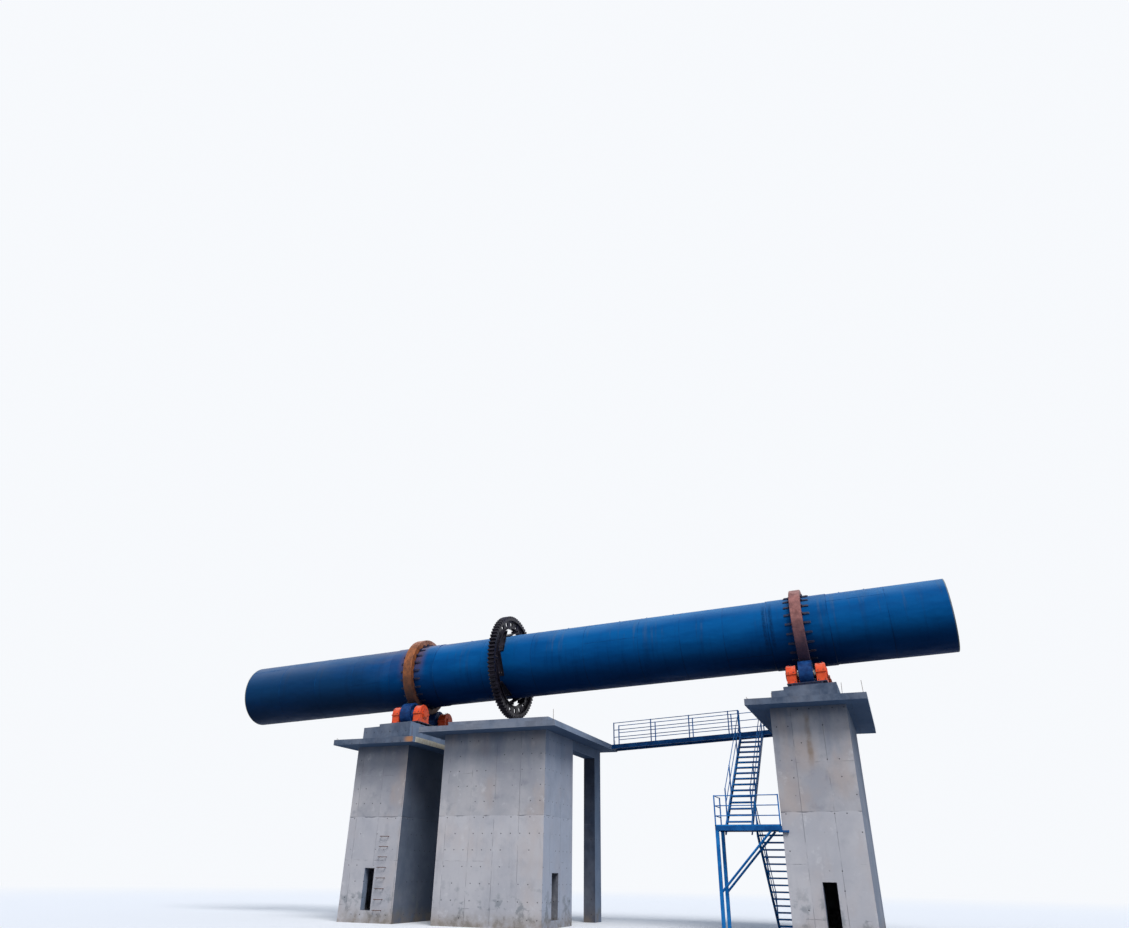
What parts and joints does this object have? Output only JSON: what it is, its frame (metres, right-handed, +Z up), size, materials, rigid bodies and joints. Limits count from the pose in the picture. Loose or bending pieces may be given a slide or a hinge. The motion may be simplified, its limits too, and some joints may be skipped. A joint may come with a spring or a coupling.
{
  "type": "rotary kiln",
  "caption": "Sloping rotary kiln shell with riding rings and a girth gear, turning on support rollers that stand on hollow concrete piers with a walkway and a stair.",
  "frame": {"origin": "on the ground, under the middle of the kiln's shell", "axes": "+X along the kiln towards its raised end, +Y towards the walkway and the stair, +Z up"},
  "size_m": [38.0904, 9, 14.5133],
  "materials": {
    "shell_paint": "dusty blue primer",
    "ring_steel": "rusted, machined face",
    "pad_steel": "dusty paint with rust",
    "gear_steel": "dark cast steel",
    "roller_paint": "dark navy protective coat",
    "shaft_steel": "machined",
    "bearing_paint": "orange paint",
    "base_paint": "dark paint with rust",
    "concrete": "fair-faced concrete with panel seams",
    "stair_paint": "blue paint",
    "step_iron_steel": "rusted bar"
  },
  "bodies": {
    "piers": {"lower_bearings": "bearing_paint", "upper_bearings": "bearing_paint", "lower_roller_base": "base_paint", "upper_roller_base": "base_paint", "lower_roller_trays": "base_paint", "upper_roller_trays": "base_paint", "lower_pier_front_wall": "concrete", "lower_pier_walls": "concrete", "lower_pier_slab": "concrete", "lower_pier_plinth": "concrete", "lower_pier_step_irons": "step_iron_steel", "drive_pier_door_wall": "concrete", "drive_pier_walls": "concrete", "drive_pier_columns": "concrete", "drive_pier_beams": "concrete", "drive_pier_slab": "concrete", "drive_pier_plinth": "concrete", "upper_pier_front_wall": "concrete", "upper_pier_walls": "concrete", "upper_pier_slab": "concrete", "upper_pier_plinth": "concrete", "walkway_deck": "stair_paint", "walkway_rails": "stair_paint", "stair_landing": "stair_paint", "stair_posts": "stair_paint", "stair_upper_flight": "stair_paint", "stair_lower_flight": "stair_paint", "landing_rails": "stair_paint", "upper_flight_rails": "stair_paint", "lower_flight_rails": "stair_paint"},
    "drum": {"lower_end_shell": "shell_paint", "lower_ring_shell": "shell_paint", "gear_shell": "shell_paint", "middle_shell": "shell_paint", "upper_ring_shell": "shell_paint", "upper_end_shell": "shell_paint", "lifting_lugs": "shell_paint", "lower_ring": "ring_steel", "upper_ring": "ring_steel", "lower_ring_pads": "pad_steel", "upper_ring_pads": "pad_steel", "girth_gear_top": "gear_steel", "girth_gear_bottom": "gear_steel", "girth_gear_springs": "gear_steel"},
    "lower_front_roller": {"lower_front_roller": "roller_paint", "lower_front_shaft": "shaft_steel"},
    "lower_rear_roller": {"lower_rear_roller": "roller_paint", "lower_rear_shaft": "shaft_steel"},
    "upper_front_roller": {"upper_front_roller": "roller_paint", "upper_front_shaft": "shaft_steel"},
    "upper_rear_roller": {"upper_rear_roller": "roller_paint", "upper_rear_shaft": "shaft_steel"}
  },
  "joints": [
    {"name": "kiln_turn", "type": "hinge", "parent": "piers", "child": "drum", "pos_m": [0, 0, 11.93], "axis": [0.9994, 0, 0.035], "continuous": true},
    {"name": "lower_front_turn", "type": "hinge", "parent": "piers", "child": "lower_front_roller", "pos_m": [-7.81637, -1.30055, 9.40243], "axis": [0.9994, 0, 0.035], "continuous": true},
    {"name": "lower_rear_turn", "type": "hinge", "parent": "piers", "child": "lower_rear_roller", "pos_m": [-7.81637, 1.30055, 9.40243], "axis": [0.9994, 0, 0.035], "continuous": true},
    {"name": "upper_front_turn", "type": "hinge", "parent": "piers", "child": "upper_front_roller", "pos_m": [12.57114, -1.30055, 10.11599], "axis": [0.9994, 0, 0.035], "continuous": true},
    {"name": "upper_rear_turn", "type": "hinge", "parent": "piers", "child": "upper_rear_roller", "pos_m": [12.57114, 1.30055, 10.11599], "axis": [0.9994, 0, 0.035], "continuous": true}
  ],
  "couplings": [
    {"joint": "lower_front_turn", "follows": "kiln_turn", "ratio": -3.3343},
    {"joint": "lower_rear_turn", "follows": "kiln_turn", "ratio": -3.3343},
    {"joint": "upper_front_turn", "follows": "kiln_turn", "ratio": -3.3343},
    {"joint": "upper_rear_turn", "follows": "kiln_turn", "ratio": -3.3343}
  ]
}
